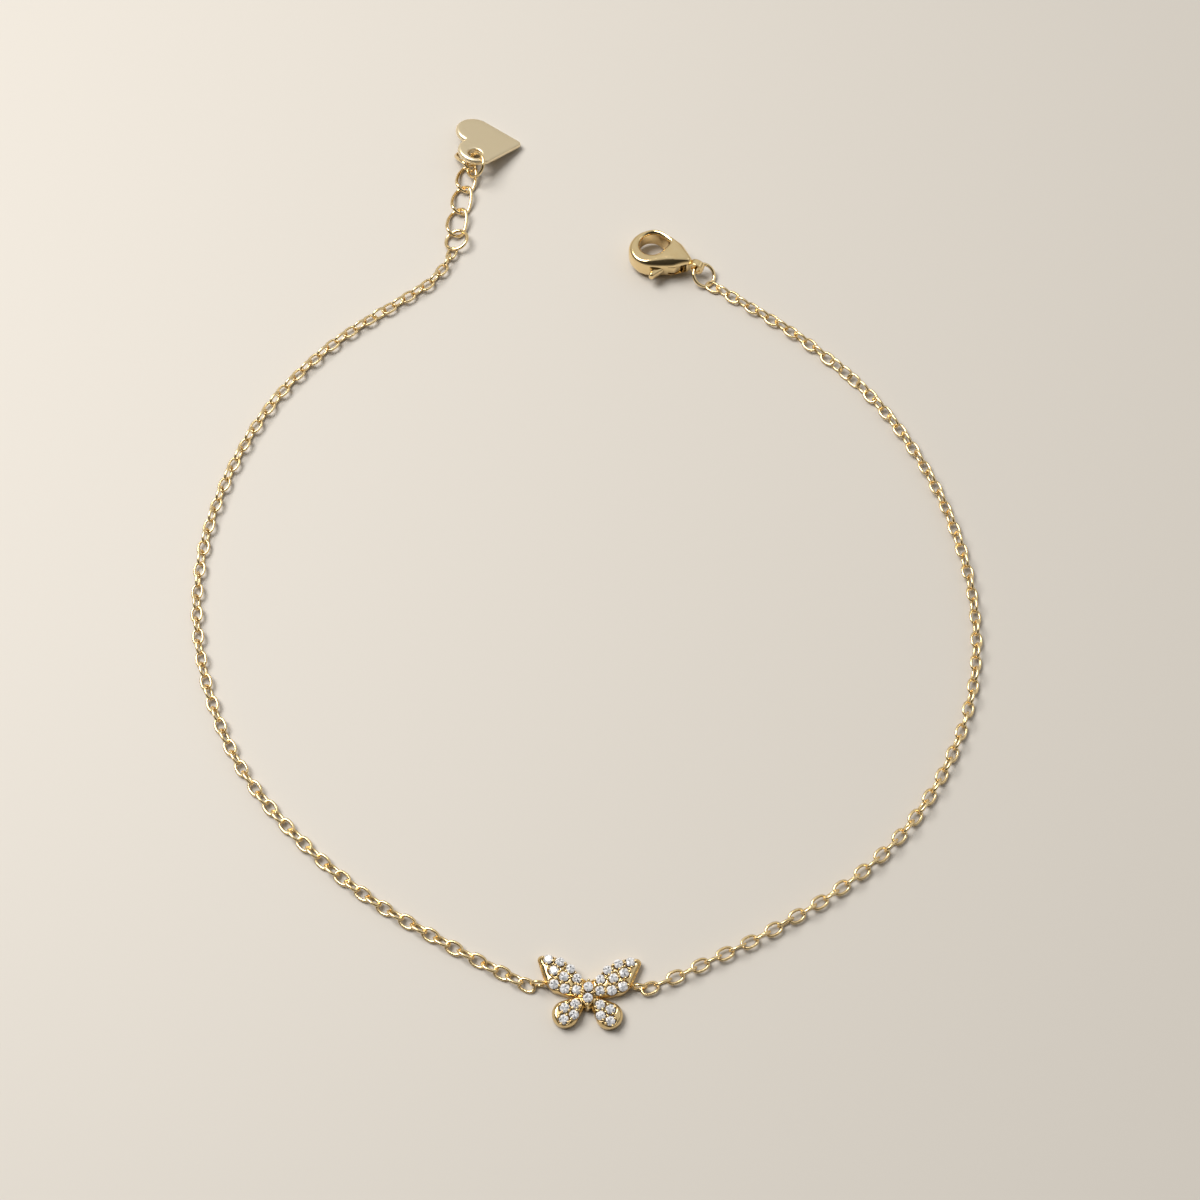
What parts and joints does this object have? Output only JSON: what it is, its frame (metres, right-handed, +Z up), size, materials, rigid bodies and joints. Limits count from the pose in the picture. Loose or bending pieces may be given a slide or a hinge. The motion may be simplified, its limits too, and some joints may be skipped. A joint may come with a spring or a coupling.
{
  "type": "charm anklet",
  "caption": "Fine cable-chain anklet lying unfastened, with a stone-set butterfly, a lobster clasp, and a short extender ending in a flat heart tag.",
  "frame": {"origin": "middle of the outline, on the surface that it lies on", "axes": "+X to the right, +Y from the butterfly towards the clasp and the heart, +Z up from the surface"},
  "size_m": [0.0807, 0.1075, 0.003],
  "materials": {
    "gold": "polished pale gold plating",
    "satin_gold": "satin pale gold plating on the flat tag",
    "stone": "clear round brilliant-cut stones"
  },
  "bodies": {
    "anklet": {"butterfly_charm": "gold", "chain_left": "gold", "chain_right": "gold", "clasp_body": "gold", "clasp_pin": "gold", "clasp_ring": "gold", "end_ring": "gold", "extender_link_1": "gold", "extender_link_2": "gold", "extender_link_3": "gold", "extender_link_4": "gold", "heart_ring": "gold", "heart_tag": "satin_gold"},
    "lever": {"clasp_lever": "gold"}
  },
  "joints": [
    {"name": "clasp_lever_pivot", "type": "hinge", "parent": "anklet", "child": "lever", "pos_m": [0.01025, 0.03342, 0.00145], "axis": [0, 0, 1], "range_deg": [0, 22], "stiffness_Nm_per_rad": 0.004}
  ]
}
